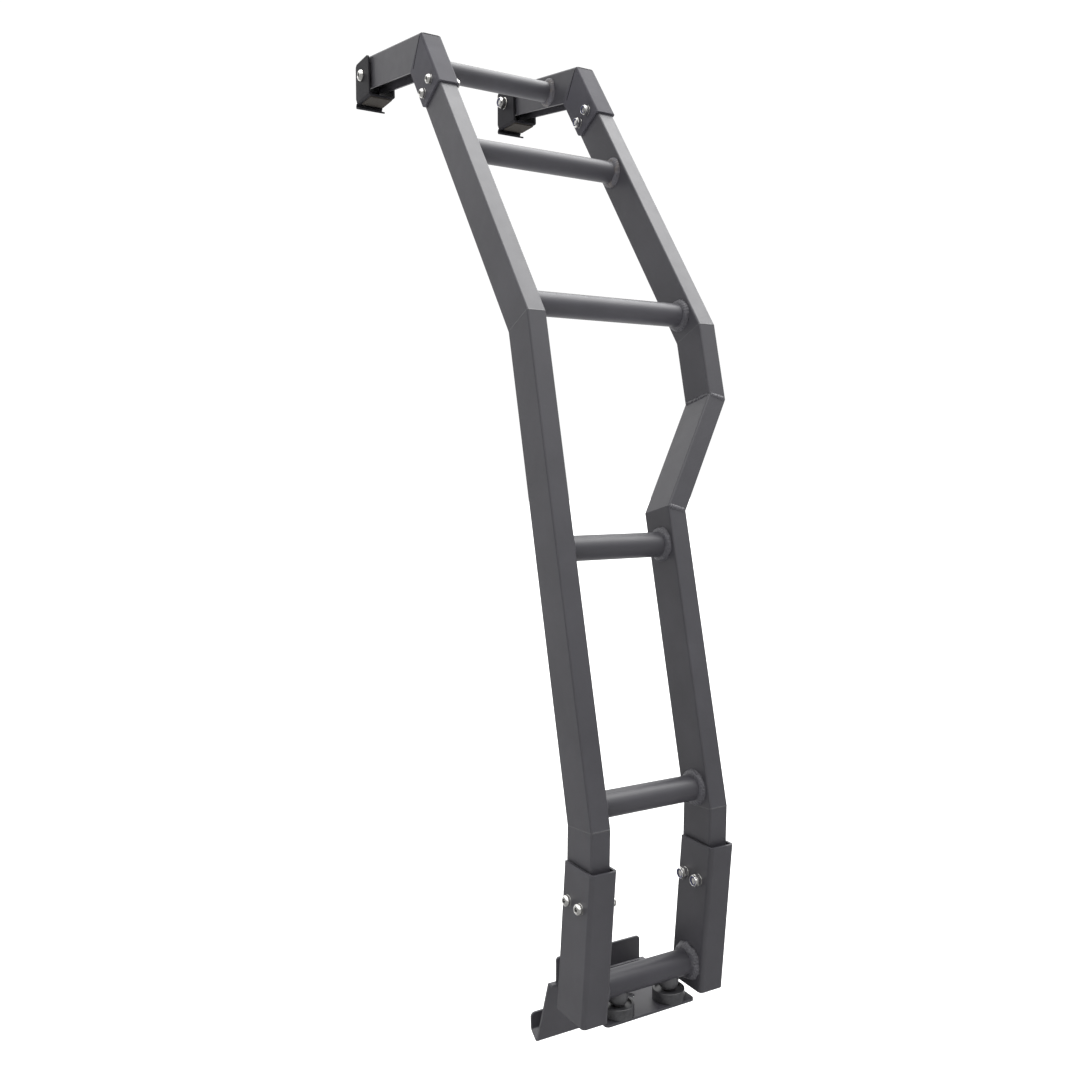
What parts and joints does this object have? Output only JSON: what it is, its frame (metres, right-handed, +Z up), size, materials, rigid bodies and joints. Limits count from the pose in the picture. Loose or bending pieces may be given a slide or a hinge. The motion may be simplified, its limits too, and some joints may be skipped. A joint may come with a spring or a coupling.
{
  "type": "rear gate ladder",
  "caption": "Bent rectangular-tube ladder that hooks over the top of a vehicle's rear gate and rests on a folded plate at its foot.",
  "frame": {"origin": "centre of the upright tab's flat face, where it rests on the gate", "axes": "+Z up, +Y towards the vehicle, +X to the right seen from behind the vehicle"},
  "size_m": [0.302, 0.6837, 1.3403],
  "materials": {
    "powder_coat": "satin",
    "zinc_bolt": "satin",
    "blackened_steel": "satin",
    "foot_rubber": "matte",
    "hook_liner": "matte"
  },
  "bodies": {
    "ladder": {"left_rail_upper": "powder_coat", "left_rail_middle": "powder_coat", "left_rail_lower": "powder_coat", "right_rail_upper": "powder_coat", "right_rail_shoulder": "powder_coat", "right_rail_offset": "powder_coat", "right_rail_middle": "powder_coat", "right_rail_lower": "powder_coat", "top_rung": "powder_coat", "second_rung": "powder_coat", "third_rung": "powder_coat", "fourth_rung": "powder_coat", "fifth_rung": "powder_coat", "bottom_rung": "powder_coat", "left_top_socket": "powder_coat", "right_top_socket": "powder_coat", "left_arm": "powder_coat", "right_arm": "powder_coat", "left_bottom_sleeve": "powder_coat", "right_bottom_sleeve": "powder_coat", "gate_plate": "powder_coat", "gate_tab": "powder_coat", "left_clamp_foot": "foot_rubber", "right_clamp_foot": "foot_rubber", "left_clamp_screw": "blackened_steel", "right_clamp_screw": "blackened_steel"},
    "left_hook_clamp": {"left_hook": "powder_coat", "left_hook_pad": "hook_liner", "left_hook_bolt": "zinc_bolt"},
    "right_hook_clamp": {"right_hook": "powder_coat", "right_hook_pad": "hook_liner", "right_hook_bolt": "zinc_bolt"}
  },
  "joints": [
    {"name": "left_hook_pivot", "type": "hinge", "parent": "ladder", "child": "left_hook_clamp", "pos_m": [-0.081, 0.52, 1.20665], "axis": [1, 0, 0], "range_deg": [-5, 60]},
    {"name": "right_hook_pivot", "type": "hinge", "parent": "ladder", "child": "right_hook_clamp", "pos_m": [0.168, 0.52, 1.20665], "axis": [1, 0, 0], "range_deg": [-5, 60]}
  ]
}
